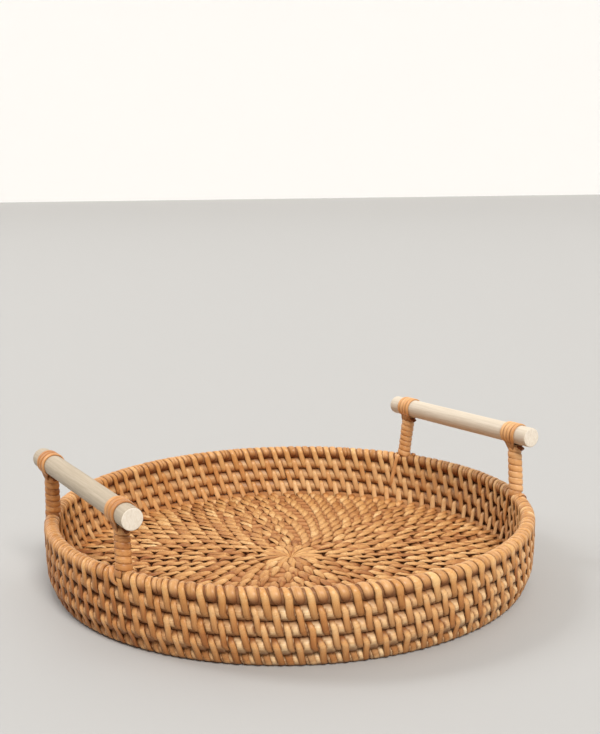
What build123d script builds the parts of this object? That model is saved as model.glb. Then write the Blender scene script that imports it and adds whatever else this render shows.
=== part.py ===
from build123d import *

import os
from math import atan2, cos, degrees, hypot, radians, sin, tan

# Round serving tray of coiled cane. Rings of round cane core lie side by side in the floor and
# stacked in the wall. Strips of cane peel loop round each pair of neighbouring rings and hold them
# together. A turned dowel is lashed on two wrapped posts at each side, as a handle.
# Origin: centre of the footprint, on the surface that the tray stands on. +Z up, handles on +X and -X.

# ---- driving dimensions, millimetres ----
TRAY_D = 300.0          # outside diameter over the rim wraps
CORE_D = 6.8            # round cane core
PEEL_T = 0.72           # thickness of a peel strip
PEEL_W = 3.2            # width of a strip on the wall and the rim
FLOOR_PEEL_W = 3.0      # width of a strip on the floor
WALL_PITCH = 8.55       # from one wall ring to the next
WALL_TUCK = (4.28, 0.98, 0.38, 0.08, 0.0)   # how far each wall ring sits inside the rim, lowest first
FLOOR_RINGS = 16
FLOOR_PITCH = 8.3       # from one floor ring to the next
FLOOR_EDGE_GAP = 8.5    # from the outermost floor ring to the lowest wall ring
FLOOR_DOME = 0.5        # how much the floor's middle is raised

WALL_STITCHES = 88      # loops in each row round the wall
STAR_STITCHES = 14      # loops in each of the two innermost floor rows
CURL_R, CURL_TUBE_R = 2.9, 1.7              # thinned start of the coil, at the very centre

DOWEL_D, DOWEL_L, DOWEL_EDGE = 12.3, 143.0, 0.7
POST_TOP_Y = 55.5       # from the dowel's middle to each post
BAND_Y = (-5.5, -2.3, 2.3, 5.5)             # the four bands of a lashing, along the dowel
BAND_W = 3.0
WRAP_R, WRAP_GROOVE_R = 4.5, 4.12           # the post's wrapping, over a turn and between turns
WRAP_TURN = 3.9
PIN_R = 0.7
TAIL_R, TAIL_L, TAIL_Y = 1.1, 3.6, -7.4     # the tucked end of a lashing, under the dowel
DOWEL_PIN_DEPTH = 8.0   # how far a pin goes into the post under the dowel
FOOT_PIN_DEPTH = 12.0   # how far a pin goes into the post above the rim ring
WRAP_START = 2.0        # the wrapping's lowest turn, above the middle of the rim ring
TIE_Y, TIE_LEAN = 6.4, 22.0                 # a foot tie's distance from the post, and its slant
STRAND_W, STRAND_L, STRAND_LEAN = 3.0, 15.0, 17.0   # the tail of the tie, down the inside
STRAND_DROP, STRAND_GAP = 2.5, 0.15

# Each handle is hand-made: how far out its dowel lies, the height of the dowel's axis at its -Y and
# +Y ends, its shift along Y, and the slot of the rim's wrapping in which each post stands.
HANDLES = {
    "right": {"side": 1, "reach": 135.5, "front_z": 79.5, "back_z": 76.8, "shift": 1.0,
              "posts": {"front": 246, "back": 18}},
    "left": {"side": -1, "reach": 132.4, "front_z": 72.3, "back_z": 74.2, "shift": 4.0,
             "posts": {"front": 149, "back": 113}},
}

# ---- worked out from them ----
CORE_R = CORE_D / 2
FIT = 0.02                                  # clearance between a strip and what it wraps
TUBE_R = CORE_R + PEEL_T                    # a ring with its strips
RIM_R = TRAY_D / 2 - TUBE_R
RIM_Z = TUBE_R + WALL_PITCH * (len(WALL_TUCK) - 1)
RIM_SLOTS = 3 * WALL_STITCHES               # one long loop and two short wraps to each stitch
DOWEL_R = DOWEL_D / 2
LASHED_R = DOWEL_R + PEEL_T + 2 * FIT
WALL = [(RIM_R - tuck, TUBE_R + WALL_PITCH * i) for i, tuck in enumerate(WALL_TUCK)]
FLOOR_R = WALL[0][0] - FLOOR_EDGE_GAP       # the outermost floor ring
DOWEL_PIN_L = DOWEL_D + PEEL_T + DOWEL_PIN_DEPTH
UPWARD = (Align.CENTER, Align.CENTER, Align.MIN)
PART_DIR = "parts"

os.makedirs(PART_DIR, exist_ok=True)


def floor_ring(j):
    """Radius and height of floor ring j, counted from the centre."""
    radius = FLOOR_R - FLOOR_PITCH * (FLOOR_RINGS - j)
    return radius, TUBE_R + FLOOR_DOME * (1 - (radius / FLOOR_R) ** 2)


def save(name, solids):
    """One node: a single solid, or a group of separate ones."""
    shape = solids[0] if len(solids) == 1 else Compound(solids)
    export_step(shape, f"{PART_DIR}/{name}.step", write_pcurves=False)


def tube_ring(radius, z, tube_r):
    return Pos(0, 0, z) * Torus(radius, tube_r)


# ---- stitches: closed loops of peel, each in a plane through the tray's axis ----
def belt(length, r1, r2):
    """A face that just holds two circles, at 0 and at length along X."""
    if r1 == r2:
        return Pos(length / 2, 0) * SlotCenterToCenter(length, 2 * r1)
    lean = (r1 - r2) / length
    up = (1 - lean * lean) ** 0.5
    flank = Polygon((r1 * lean, r1 * up), (r1 * lean, -r1 * up),
                    (length + r2 * lean, -r2 * up), (length + r2 * lean, r2 * up), align=None)
    return Circle(r1) + Pos(length, 0) * Circle(r2) + flank


def loop(inner, outer, width, inner_r=CORE_R):
    """A strip round two rings, given as (radius, height), at angle 0."""
    run, rise = outer[0] - inner[0], outer[1] - inner[1]
    length = hypot(run, rise)
    plane = Plane(origin=(inner[0], 0, inner[1]), x_dir=(run, 0, rise), z_dir=(0, -1, 0))
    band = (belt(length, inner_r + PEEL_T, CORE_R + PEEL_T)
            - belt(length, inner_r + FIT, CORE_R + FIT))
    return extrude(plane * band, amount=width / 2, both=True)


def turned(solid, angles):
    """Copies of a solid round the tray's axis."""
    return [solid.moved(Location((0, 0, 0), (0, 0, a))) for a in angles]


def evenly(count, phase=0.0):
    return [360 * (i + phase) / count for i in range(count)]


def between(targets, others, clear):
    """Each target angle, moved as little as keeps it clear of the other row's angles."""
    windows = [(a + clear, b - clear) for a, b in zip(others, others[1:] + [others[0] + 360])]
    placed = []
    for target in targets:
        spots = [min(max(target, low + turn), high + turn)
                 for low, high in windows if low <= high for turn in (-360, 0, 360)]
        placed.append(min(spots, key=lambda spot: abs(spot - target)) % 360)
    return sorted(placed)


def wedge(count):
    """The room of one of count tapering strips that meet at the centre."""
    reach, tip = 30.0, 0.04
    half = tip + reach * tan(radians(180 / count * 0.94))
    shape = Polygon((0, -tip), (reach, -half), (reach, half), (0, tip), align=None)
    return extrude(shape, amount=4 * TUBE_R)


# ---- pieces of a handle ----
def slot_point(slot):
    angle = radians(360 * slot / RIM_SLOTS)
    return Vector(RIM_R * cos(angle), RIM_R * sin(angle), RIM_Z)


def wrapping(start, end):
    """A sleeve of peel turns along Z, rounded over each turn."""
    turns = round((end - start) / WRAP_TURN)
    step = (end - start) / turns
    inner = CORE_R + FIT
    lines = [Line((inner, start), (WRAP_GROOVE_R, start)), Line((WRAP_GROOVE_R, end), (inner, end)),
             Line((inner, end), (inner, start))]
    for i in range(turns):
        low = start + i * step
        lines.append(ThreePointArc((WRAP_GROOVE_R, low), (WRAP_R, low + step / 2),
                                   (WRAP_GROOVE_R, low + step)))
    return revolve(Plane.XZ * make_face(lines), Axis.Z)


def lashing(top):
    """Four bands round the dowel and the tucked end under it, where top is on the dowel's axis."""
    inner = DOWEL_R + FIT
    band = Rot(90, 0, 0) * (Cylinder(inner + PEEL_T, BAND_W) - Cylinder(inner, BAND_W))
    tail = Pos(0, TAIL_Y, -LASHED_R - TAIL_R) * Rot(90, 0, 0) * Cylinder(TAIL_R, TAIL_L)
    return [(top * Pos(0, y, 0) * band).solid() for y in BAND_Y] + [(top * tail).solid()]


def ties(slot):
    """Two slanted strips over the rim beside a post, and the strand down the inside of the wall."""
    angle = 360 * slot / RIM_SLOTS
    inner = TUBE_R + 2 * FIT
    shell = tube_ring(RIM_R, RIM_Z, inner + PEEL_T) - tube_ring(RIM_R, RIM_Z, inner)
    solids = []
    for way in (-1, 1):
        at = Rot(0, 0, angle + way * degrees(TIE_Y / RIM_R)) * Pos(RIM_R, 0, RIM_Z)
        slab = at * Rot(-way * TIE_LEAN, 0, 0) * Pos(0, 0, TUBE_R / 2 + 0.5) * Box(14, PEEL_W, 7)
        solids.append((shell & slab).solid())
    face_r = WALL[2][0] - TUBE_R - STRAND_GAP
    strand = Box(PEEL_T, STRAND_W, STRAND_L, align=(Align.MAX, Align.CENTER, Align.MAX))
    strand = Pos(face_r, 0, RIM_Z - STRAND_DROP) * Rot(STRAND_LEAN, 0, 0) * strand
    return solids + [(Rot(0, 0, angle) * strand).solid()]


# ---- rings ----
for j in range(1, FLOOR_RINGS + 1):
    save(f"base_coil_{j:02d}", [tube_ring(*floor_ring(j), CORE_R)])
curl = (CURL_R, floor_ring(1)[1])
save("centre_curl", [tube_ring(*curl, CURL_TUBE_R)])
for i, (radius, z) in enumerate(WALL[:-1], start=1):
    save(f"wall_coil_{i}", [tube_ring(radius, z, CORE_R)])

# ---- stitches of the wall, each row a third of a stitch behind the row above ----
for i in range(len(WALL) - 1):
    steps_down = len(WALL) - 2 - i
    phase = (1 - steps_down) / 3
    name = "rim_stitches" if steps_down == 0 else f"wall_stitches_{i + 1}"
    save(name, turned(loop(WALL[i], WALL[i + 1], PEEL_W), evenly(WALL_STITCHES, phase)))
post_slots = [slot for handle in HANDLES.values() for slot in handle["posts"].values()]
short_slots = [s for s in range(RIM_SLOTS) if s % 3 != 1 and s not in post_slots]
rim_plane = Plane(origin=(RIM_R, 0, RIM_Z), x_dir=(1, 0, 0), z_dir=(0, -1, 0))
short_wrap = extrude(rim_plane * (Circle(TUBE_R) - Circle(CORE_R + FIT)), amount=PEEL_W / 2, both=True)
save("rim_wraps", turned(short_wrap, [360 * s / RIM_SLOTS for s in short_slots]))

# ---- stitches of the floor, worked from the wall inwards, each row in the spaces of the last ----
row = evenly(WALL_STITCHES)
save("corner_stitches", turned(loop(floor_ring(FLOOR_RINGS), WALL[0], PEEL_W), row))
zones = {}
for j in range(FLOOR_RINGS - 1, 1, -1):
    outer = floor_ring(j + 1)
    count = max(STAR_STITCHES, 5 * j + 3)
    row = between(evenly(count), row, degrees((FLOOR_PEEL_W + 0.15) / outer[0]))
    zone = (j + 2) // 3
    zones.setdefault(zone, []).extend(turned(loop(floor_ring(j), outer, FLOOR_PEEL_W), row))
narrow = loop(floor_ring(1), floor_ring(2), FLOOR_PEEL_W) & wedge(2 * STAR_STITCHES)
zones[1] += turned(narrow.solid(), evenly(STAR_STITCHES, 0.5))
for zone, solids in zones.items():
    save(f"base_stitches_{zone}", solids)
petal = loop(curl, floor_ring(1), FLOOR_PEEL_W, inner_r=CURL_TUBE_R) & wedge(2 * STAR_STITCHES)
save("star_stitches", turned(petal.solid(), evenly(STAR_STITCHES)))

# ---- handles ----
# The rim ring gets its foot-pin holes here, so it is the last ring to be saved.
rim_coil = tube_ring(RIM_R, RIM_Z, CORE_R)
wrapped_rim = tube_ring(RIM_R, RIM_Z, TUBE_R + FIT)
dowel_pins, foot_pins = [], []
for hand, h in HANDLES.items():
    mid_z, rise = (h["front_z"] + h["back_z"]) / 2, h["back_z"] - h["front_z"]
    tilt = degrees(atan2(rise, DOWEL_L))
    place = Location((h["side"] * h["reach"], h["shift"], mid_z), (tilt, 0, 0))
    dowel = chamfer(Cylinder(DOWEL_R, DOWEL_L).edges().filter_by(GeomType.CIRCLE), DOWEL_EDGE)
    dowel = place * Rot(90, 0, 0) * dowel
    lashed_dowel = place * Rot(90, 0, 0) * Cylinder(LASHED_R, DOWEL_L)
    for end, slot in h["posts"].items():
        toward = -1 if end == "front" else 1
        top = place * Pos(0, toward * POST_TOP_Y, 0)
        foot = slot_point(slot)
        line = Plane(origin=foot, z_dir=top.position - foot)
        length = (top.position - foot).length

        pin = top * Pos(0, 0, DOWEL_R - DOWEL_PIN_L / 2) * Cylinder(PIN_R, DOWEL_PIN_L)
        foot_pin = line * Pos(0, 0, -CORE_R) * Cylinder(PIN_R, CORE_R + FOOT_PIN_DEPTH, align=UPWARD)
        dowel_pins.append(pin.solid())
        foot_pins.append(foot_pin.solid())
        post = line * Cylinder(CORE_R, length, align=UPWARD)
        wrap = line * wrapping(WRAP_START, length - DOWEL_R)
        post = post - wrapped_rim - lashed_dowel - pin - foot_pin
        wrap = wrap - wrapped_rim - lashed_dowel
        save(f"{hand}_{end}_post", [post.solid()])
        save(f"{hand}_{end}_post_wrap", [wrap.solid()])
        save(f"{hand}_{end}_lashing", lashing(top))
        save(f"{hand}_{end}_tie", ties(slot))
        dowel = dowel - pin
        rim_coil = rim_coil - foot_pin
    save(f"{hand}_dowel", [dowel.solid()])
save("dowel_pins", dowel_pins)
save("foot_pins", foot_pins)
save("rim_coil", [rim_coil.solid()])
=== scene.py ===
import math

import bpy
import numpy as np
from mathutils import Matrix, Vector


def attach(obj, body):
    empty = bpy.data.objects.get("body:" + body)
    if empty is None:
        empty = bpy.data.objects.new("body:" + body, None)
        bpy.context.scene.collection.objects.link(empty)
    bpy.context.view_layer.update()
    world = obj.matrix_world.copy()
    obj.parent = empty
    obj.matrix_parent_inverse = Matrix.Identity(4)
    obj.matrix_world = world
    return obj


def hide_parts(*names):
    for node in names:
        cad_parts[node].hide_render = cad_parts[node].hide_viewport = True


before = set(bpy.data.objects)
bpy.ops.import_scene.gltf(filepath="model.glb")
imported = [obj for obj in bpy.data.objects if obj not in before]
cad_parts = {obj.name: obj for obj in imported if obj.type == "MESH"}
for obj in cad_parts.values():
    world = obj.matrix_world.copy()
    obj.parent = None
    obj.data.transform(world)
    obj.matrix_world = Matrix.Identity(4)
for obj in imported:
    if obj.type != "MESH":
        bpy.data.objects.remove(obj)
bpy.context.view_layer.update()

# Round serving tray of coiled cane. Lengths are millimetres until a mesh is made.
MM = 0.001
rng = np.random.default_rng(11)

# ---- the tray, with the numbers of part.py ----
TRAY_D = 300.0
CORE_R = 3.4
PEEL_T = 0.72
WALL_PITCH = 8.55
WALL_TUCK = (4.28, 0.98, 0.38, 0.08, 0.0)
FLOOR_RINGS = 16
FLOOR_PITCH = 8.3
FLOOR_EDGE_GAP = 8.5
FLOOR_DOME = 0.5
FLOOR_PEEL_W = 3.0
WALL_STITCHES = 88
STAR_STITCHES = 14
DOWEL_R, DOWEL_L = 6.15, 143.0
POST_TOP_Y = 55.5
WRAP_TURN = 3.9
WRAP_START = 2.0
LASHING_L = 12.4
RIM_SLOTS = 264
# Each handle's dowel tone is partly its wood and partly painted light on the right dowel and painted shade
# on the left; its binding tone is painted light on the right handle and painted shade on the left.
HANDLES = {
    "right": {"side": 1, "reach": 135.5, "front_z": 79.5, "back_z": 76.8, "shift": 1.0,
              "posts": {"front": 246, "back": 18}, "dowel_tone_and_light": 0.62, "binding_painted_light": 0.3},
    "left": {"side": -1, "reach": 132.4, "front_z": 72.3, "back_z": 74.2, "shift": 4.0,
             "posts": {"front": 149, "back": 113}, "dowel_tone_and_light": 0.30, "binding_painted_light": -0.25},
}
TUBE_R = CORE_R + PEEL_T
RIM_R = TRAY_D / 2 - TUBE_R
RIM_Z = TUBE_R + WALL_PITCH * (len(WALL_TUCK) - 1)
WALL = [(RIM_R - tuck, TUBE_R + WALL_PITCH * i) for i, tuck in enumerate(WALL_TUCK)]
FLOOR_R = WALL[0][0] - FLOOR_EDGE_GAP
TOP = len(WALL) - 1         # the rim's ring

# ---- how the weaving lies ----
HUG_R = 3.36            # the underside of a strip, from the middle of the ring that it wraps
STRAP_T = 1.12          # thickness of a wall strip at its crown
STRAP_W, RIM_W = 3.5, 3.9       # widths of the strips outside
INSIDE_W, TUCKED_W = 4.0, 2.8   # and inside, and between two rings
BEAD_W = 5.2            # the widest that a short wrap of the rim gets
SLIM_CORE_R = 3.3       # a wall ring pinched under its strips
# Shares of a stitch that a wall strip moves on: down the outside, up the inside, and round a ring.
RUN, INNER_RUN = 0.11, 0.23
PASS = (1 - RUN - INNER_RUN) / 2
ROW_STEP = 0.49         # each row starts this share of a stitch after the row above
CORNER_STEP = 0.13      # and the corner's row this share after the lowest wall row
CORNER_MOVES = (0.25, 0.30, 0.25, 0.20)
FACING = math.radians(-120.4)   # the side of the tray that faces the camera
# The share of rim gaps that hold one plump wrap, not two narrow ones, at angles from the facing side.
PLUMP_SHARE = ((-180, 0.75), (-125, 0.5), (-100, 0.04), (-52, 0.08), (-40, 0.95), (20, 0.9), (60, 0.35),
               (105, 0.1), (130, 0.5), (180, 0.75))
# The weaver's spacing varies: (angle from the facing side, stitches so far), once round.
SPACING = ((-67, 0.0), (-14, 13.95), (22, 22.15), (50, 28.85), (293, 88.0))


def floor_ring(j):
    radius = FLOOR_R - FLOOR_PITCH * (FLOOR_RINGS - j)
    return radius, TUBE_R + FLOOR_DOME * (1 - (radius / FLOOR_R) ** 2)


def stitch_angle(x):
    """The angle of stitch x of a wall row, in radians. x may be a fraction."""
    turns = np.floor(np.asarray(x, float) / WALL_STITCHES)
    within = np.asarray(x, float) - turns * WALL_STITCHES
    knots = np.array(SPACING)
    grid = np.arange(-8, WALL_STITCHES + 9, 0.5)
    lap = np.floor(grid / WALL_STITCHES)
    plain = np.interp(grid - lap * WALL_STITCHES, knots[:, 1], knots[:, 0]) + 360 * lap
    soft = np.convolve(plain, np.ones(9) / 9, mode="same")
    angle = np.interp(within, grid[8:-8], soft[8:-8])
    return FACING + np.radians(angle) + 2 * np.pi * turns


def evenly(count, phase=0.0):
    return [360 * (i + phase) / count for i in range(count)]


def between(targets, others, clear):
    """Each target angle, moved as little as keeps it clear of the other row's angles."""
    windows = [(a + clear, b - clear) for a, b in zip(others, others[1:] + [others[0] + 360])]
    placed = []
    for target in targets:
        spots = [min(max(target, low + turn), high + turn)
                 for low, high in windows if low <= high for turn in (-360, 0, 360)]
        placed.append(min(spots, key=lambda spot: abs(spot - target)) % 360)
    return sorted(placed)


def smooth(lo, hi, x):
    """0 where x is at lo, 1 at hi, and a soft step between them. lo may be above hi."""
    t = np.clip((x - lo) / (hi - lo), 0, 1)
    return t * t * (3 - 2 * t)


def looped(values):
    """Values with the first repeated at the end."""
    return np.append(values, values[0])


def catmull(p, u):
    """Between p[1] and p[2] on the soft line through four points, or four arrays of numbers."""
    return 0.5 * (2 * p[1] + (p[2] - p[0]) * u + (2 * p[0] - 5 * p[1] + 4 * p[2] - p[3]) * u ** 2
                  + (3 * p[1] - p[0] - 3 * p[2] + p[3]) * u ** 3)


def tones_of(count, mean, spread):
    """How pale each of count strips is, from 0 to 1."""
    return np.clip(rng.normal(mean, spread, count), 0, 1)


def turned(angle, r, z):
    """The point or direction (r, z), turned to an angle round the tray's axis."""
    return np.stack([r * np.cos(angle), r * np.sin(angle), z + 0 * angle], -1)


def grid_quads(rows, columns, closed=True, flip=False):
    """Quads between rows of points. The columns close into a loop, and so do the rows if closed."""
    i, j = np.arange(rows if closed else rows - 1), np.arange(columns)
    at = lambda a, b: (a % rows)[:, None] * columns + (b % columns)[None, :]
    corners = [at(i, j), at(i, j + 1), at(i + 1, j + 1), at(i + 1, j)]
    if flip:
        corners = [corners[0]] + corners[:0:-1]
    return np.stack(corners, -1).reshape(-1, 4)


# ---- meshes ----
def add_piece(name, co, quads, flow, shade, mats, slot, nodes):
    """A mesh piece from arrays in millimetres, riding on the tray in place of some CAD nodes."""
    mesh = bpy.data.meshes.new(name)
    flat = np.asarray(quads, np.int32)
    mesh.vertices.add(co.size // 3)
    mesh.vertices.foreach_set("co", (co * MM).astype(np.float32).ravel())
    mesh.loops.add(flat.size)
    mesh.loops.foreach_set("vertex_index", flat.ravel())
    mesh.polygons.add(len(flat))
    mesh.polygons.foreach_set("loop_start", np.arange(0, flat.size, 4, dtype=np.int32))
    mesh.polygons.foreach_set("use_smooth", np.ones(len(flat), bool))
    mesh.update(calc_edges=True)
    for key, values in (("flow", flow), ("shade", shade)):
        layer = mesh.attributes.new(key, "FLOAT_VECTOR", "POINT")
        layer.data.foreach_set("vector", np.asarray(values, np.float32).ravel())
    piece = bpy.data.objects.new(name, mesh)
    bpy.context.scene.collection.objects.link(piece)
    for mat in mats:
        mesh.materials.append(mat)
    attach(piece, "root")
    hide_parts(*nodes)
    return piece


# Sections of a strip, from its underside up: (share of the half width, share of the thickness).
PEEL = np.array([(-1.0, 0.40), (-0.84, 0.74), (-0.46, 0.95), (0.0, 1.0), (0.46, 0.95),
                 (0.84, 0.74), (1.0, 0.40), (0.8, 0.03), (0.0, 0.0), (-0.8, 0.03)])
STRAP = np.array([(-1.0, 0.22), (-0.86, 0.60), (-0.50, 0.90), (0.0, 1.0), (0.50, 0.90),
                  (0.86, 0.60), (1.0, 0.22), (0.8, 0.0), (0.0, 0.0), (-0.8, 0.0)])
ROUND_PEEL = np.array([(-1.0, 0.10), (-0.88, 0.50), (-0.52, 0.86), (0.0, 1.0), (0.52, 0.86),
                       (0.88, 0.50), (1.0, 0.10), (0.8, 0.0), (0.0, 0.0), (-0.8, 0.0)])


def end_cap(m):
    """Quads that close a ring of m points, facing back along the tube."""
    a = np.arange(m // 2 - 1)
    return np.stack([m - 1 - a, m - 2 - a, a + 1, a], -1)


def strips(path, normal, left, right, thick, tone, painted_shade, closed, profile=PEEL, roll=None):
    """Arrays for strips of peel laid along paths: path and normal are (strips, points, 3), the rest
    (strips, points). The path is the middle of a strip's underside."""
    if closed:
        tangent = np.roll(path, -1, 1) - np.roll(path, 1, 1)
    else:
        tangent = np.gradient(path, axis=1)
    tangent /= np.linalg.norm(tangent, axis=2, keepdims=True)
    normal = normal - (normal * tangent).sum(2, keepdims=True) * tangent
    normal /= np.linalg.norm(normal, axis=2, keepdims=True)
    across = np.cross(tangent, normal)
    if roll is not None:
        c, s = np.cos(roll)[..., None], np.sin(roll)[..., None]
        normal, across = c * normal + s * across, c * across - s * normal
    k, n = path.shape[:2]
    m = len(profile)
    x = profile[:, 0]
    half = np.where(x[None, None, :] < 0, left[..., None], right[..., None])
    co = (path[:, :, None, :] + across[:, :, None, :] * (half * x)[..., None]
          + normal[:, :, None, :] * (thick[..., None] * profile[:, 1])[..., None])
    step = np.linalg.norm(np.diff(path, axis=1, prepend=path[:, :1]), axis=2)
    along = np.cumsum(step, axis=1)
    ones = np.ones(m)
    strip_id = tone[..., None] * 37.0 * ones       # sets the patterns of two strips apart
    flow = np.stack([along[..., None] * ones, half * x, strip_id], -1)
    # edge is 1 on a strip's sides and underside, which the cane material darkens as painted shade
    edge = np.abs(x) ** 3 * (profile[:, 1] > 0.2) + (profile[:, 1] < 0.2)
    shade = np.stack([tone[..., None] * ones, painted_shade[..., None] * ones,
                      np.broadcast_to(edge, (k, n, m))], -1)
    quads = grid_quads(n, m, closed)
    if not closed:
        quads = np.concatenate([quads, end_cap(m), (end_cap(m) + (n - 1) * m)[:, ::-1]])
    quads = (quads[None] + (np.arange(k) * n * m)[:, None, None]).reshape(-1, 4)
    return co.reshape(-1, 3), quads, flow.reshape(-1, 3), shade.reshape(-1, 3)


def joined(parts):
    """One set of arrays from several."""
    shift, quads = 0, []
    for part in parts:
        quads.append(part[1] + shift)
        shift += len(part[0])
    return (np.concatenate([p[0] for p in parts]), np.concatenate(quads),
            np.concatenate([p[2] for p in parts]), np.concatenate([p[3] for p in parts]))


# ---- materials ----
def linear(r, g, b):
    """A colour as a screen shows it, from 0 to 255, in the numbers that a shader takes."""
    return tuple(c / 255 / 12.92 if c <= 10.31 else ((c / 255 + 0.055) / 1.055) ** 2.4
                 for c in (r, g, b)) + (1.0,)


class Nodes:
    """A short way to write a material's nodes."""

    def __init__(self, name):
        self.mat = bpy.data.materials.new(name)
        self.mat.use_nodes = True
        self.tree = self.mat.node_tree
        self.tree.nodes.clear()
        self.bsdf = self.add("ShaderNodeBsdfPrincipled")
        out = self.add("ShaderNodeOutputMaterial")
        self.link(self.bsdf.outputs["BSDF"], out.inputs["Surface"])

    def add(self, kind, **props):
        node = self.tree.nodes.new(kind)
        for key, value in props.items():
            setattr(node, key, value)
        return node

    def link(self, a, b):
        self.tree.links.new(a, b)

    def put(self, socket, value):
        if hasattr(value, "is_output"):
            self.link(value, socket)
        else:
            socket.default_value = value

    def attribute(self, name):
        node = self.add("ShaderNodeAttribute", attribute_name=name)
        split = self.add("ShaderNodeSeparateXYZ")
        self.link(node.outputs["Vector"], split.inputs[0])
        return node.outputs["Vector"], split.outputs

    def math(self, op, a, b=0.0, clamp=False):
        node = self.add("ShaderNodeMath", operation=op, use_clamp=clamp)
        self.put(node.inputs[0], a)
        self.put(node.inputs[1], b)
        return node.outputs[0]

    def plus(self, a, b, clamp=False):
        return self.math("ADD", a, b, clamp)

    def times(self, a, b):
        return self.math("MULTIPLY", a, b)

    def around_half(self, value, share):
        """A value that varies about 0.5, taken as a share to add or take away."""
        return self.times(self.math("SUBTRACT", value, 0.5), share)

    def span(self, value, a, b, c=0.0, d=1.0, soft=False):
        node = self.add("ShaderNodeMapRange", interpolation_type="SMOOTHSTEP" if soft else "LINEAR")
        for socket, v in zip(node.inputs, (value, a, b, c, d)):
            self.put(socket, v)
        return node.outputs[0]

    def noise(self, vector, scale, detail=4.0, rough=0.6, distort=0.0):
        """Noise with a scale along each axis."""
        stretched = self.add("ShaderNodeMapping")
        self.link(vector, stretched.inputs["Vector"])
        stretched.inputs["Scale"].default_value = scale
        node = self.add("ShaderNodeTexNoise")
        self.link(stretched.outputs[0], node.inputs["Vector"])
        for key, value in (("Scale", 1.0), ("Detail", detail), ("Roughness", rough),
                           ("Distortion", distort)):
            node.inputs[key].default_value = value
        return node.outputs["Fac"]

    def ramp(self, fac, *stops):
        node = self.add("ShaderNodeValToRGB")
        elements = node.color_ramp.elements
        while len(elements) < len(stops):
            elements.new(0.5)
        for element, (at, colour) in zip(elements, stops):
            element.position = at
            element.color = linear(*colour)
        self.link(fac, node.inputs[0])
        return node.outputs["Color"]

    def mix(self, fac, a, b, blend="MIX"):
        node = self.add("ShaderNodeMix", data_type="RGBA", blend_type=blend)
        self.put(node.inputs[0], fac)
        self.put(node.inputs[6], a)
        self.put(node.inputs[7], b)
        return node.outputs[2]

    def bump(self, height, distance, strength):
        node = self.add("ShaderNodeBump")
        node.inputs["Strength"].default_value = strength
        node.inputs["Distance"].default_value = distance
        self.link(height, node.inputs["Height"])
        return node.outputs[0]

    def surface(self, **values):
        """Sets the surface's sockets, with _ for a space in their names, and gives the material."""
        for key, value in values.items():
            self.put(self.bsdf.inputs[key.replace("_", " ")], value)
        return self.mat


def cane(name, shades, stain_and_shade=(108, 52, 14), patch=None, gloss=0.42, coat=0.12, fibre=0.00007,
         contrast=1.0):
    """Cane in four shades, dark to pale, along its own grain: flow is (along, across, which strip)
    in millimetres, and shade is (the strip's tone, how much painted shade it gets where it is tucked in,
    how near its edge). The dark brown that edges and tucked parts are mixed towards is partly stain and
    partly painted shade."""
    n = Nodes(name)
    stain_and_shade = linear(*stain_and_shade)
    flow, _ = n.attribute("flow")
    _, (tone, painted_shade, edge) = n.attribute("shade")
    streak = n.noise(flow, (0.05, 2.6, 1.0), 5.0, 0.62)
    fine = n.noise(flow, (0.16, 7.5, 1.0), 3.0)
    blotch = n.noise(flow, (0.09, 0.22, 1.0), 3.0, 0.55, 0.4)
    level = n.plus(n.times(tone, 0.46), n.times(blotch, 0.42))
    level = n.plus(level, n.around_half(streak, 0.62 * contrast))
    level = n.plus(level, n.around_half(fine, 0.25 * contrast), clamp=True)
    colour = n.ramp(level, *zip((0.10, 0.36, 0.60, 0.86), shades))
    if patch:
        spots = n.noise(flow, (0.12, 0.5, 1.9), 4.0, 0.65, 0.8)
        colour = n.mix(n.span(spots, 0.52, 0.64, 0.0, 0.75, soft=True), colour, linear(*patch))
    specks = n.noise(flow, (0.9, 3.4, 1.0), 2.0, 0.5)
    colour = n.mix(n.span(specks, 0.70, 0.80, 0.0, 0.35), colour, linear(*shades[0]))
    # painted shade: darker towards a strip's edges and on its underside, and much darker where it is tucked
    # in
    colour = n.mix(n.times(edge, 0.35), colour, stain_and_shade)
    colour = n.mix(n.times(painted_shade, 0.86), colour, stain_and_shade)
    rough = n.plus(n.span(streak, 0.3, 0.7, gloss - 0.07, gloss + 0.13), n.times(painted_shade, 0.45), clamp=True)
    grooves = n.plus(streak, n.times(fine, 0.5))
    return n.surface(Base_Color=colour, Roughness=rough, Normal=n.bump(grooves, fibre, 0.9),
                     Coat_Weight=coat, Coat_Roughness=0.28, Specular_IOR_Level=0.3)


def plain_core():
    """The bare core of the posts and the centre curl, with its grain running round the tray."""
    n = Nodes("cane_core_hidden")
    place = n.add("ShaderNodeSeparateXYZ")
    n.link(n.add("ShaderNodeTexCoord").outputs["Object"], place.inputs[0])
    x, y, z = place.outputs
    radius = n.math("SQRT", n.plus(n.times(x, x), n.times(y, y)))
    round_tray = n.add("ShaderNodeCombineXYZ")
    for socket, value in zip(round_tray.inputs, (n.math("ARCTAN2", y, x), radius, z)):
        n.link(value, socket)
    grain = n.noise(round_tray.outputs[0], (30.0, 1400.0, 1400.0))
    colour = n.ramp(grain, (0.25, (132, 84, 46)), (0.50, (172, 120, 72)),
                    (0.75, (204, 156, 104)))
    return n.surface(Base_Color=colour, Roughness=n.span(grain, 0.3, 0.7, 0.5, 0.7),
                     Normal=n.bump(grain, 0.0001, 0.8))


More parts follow.
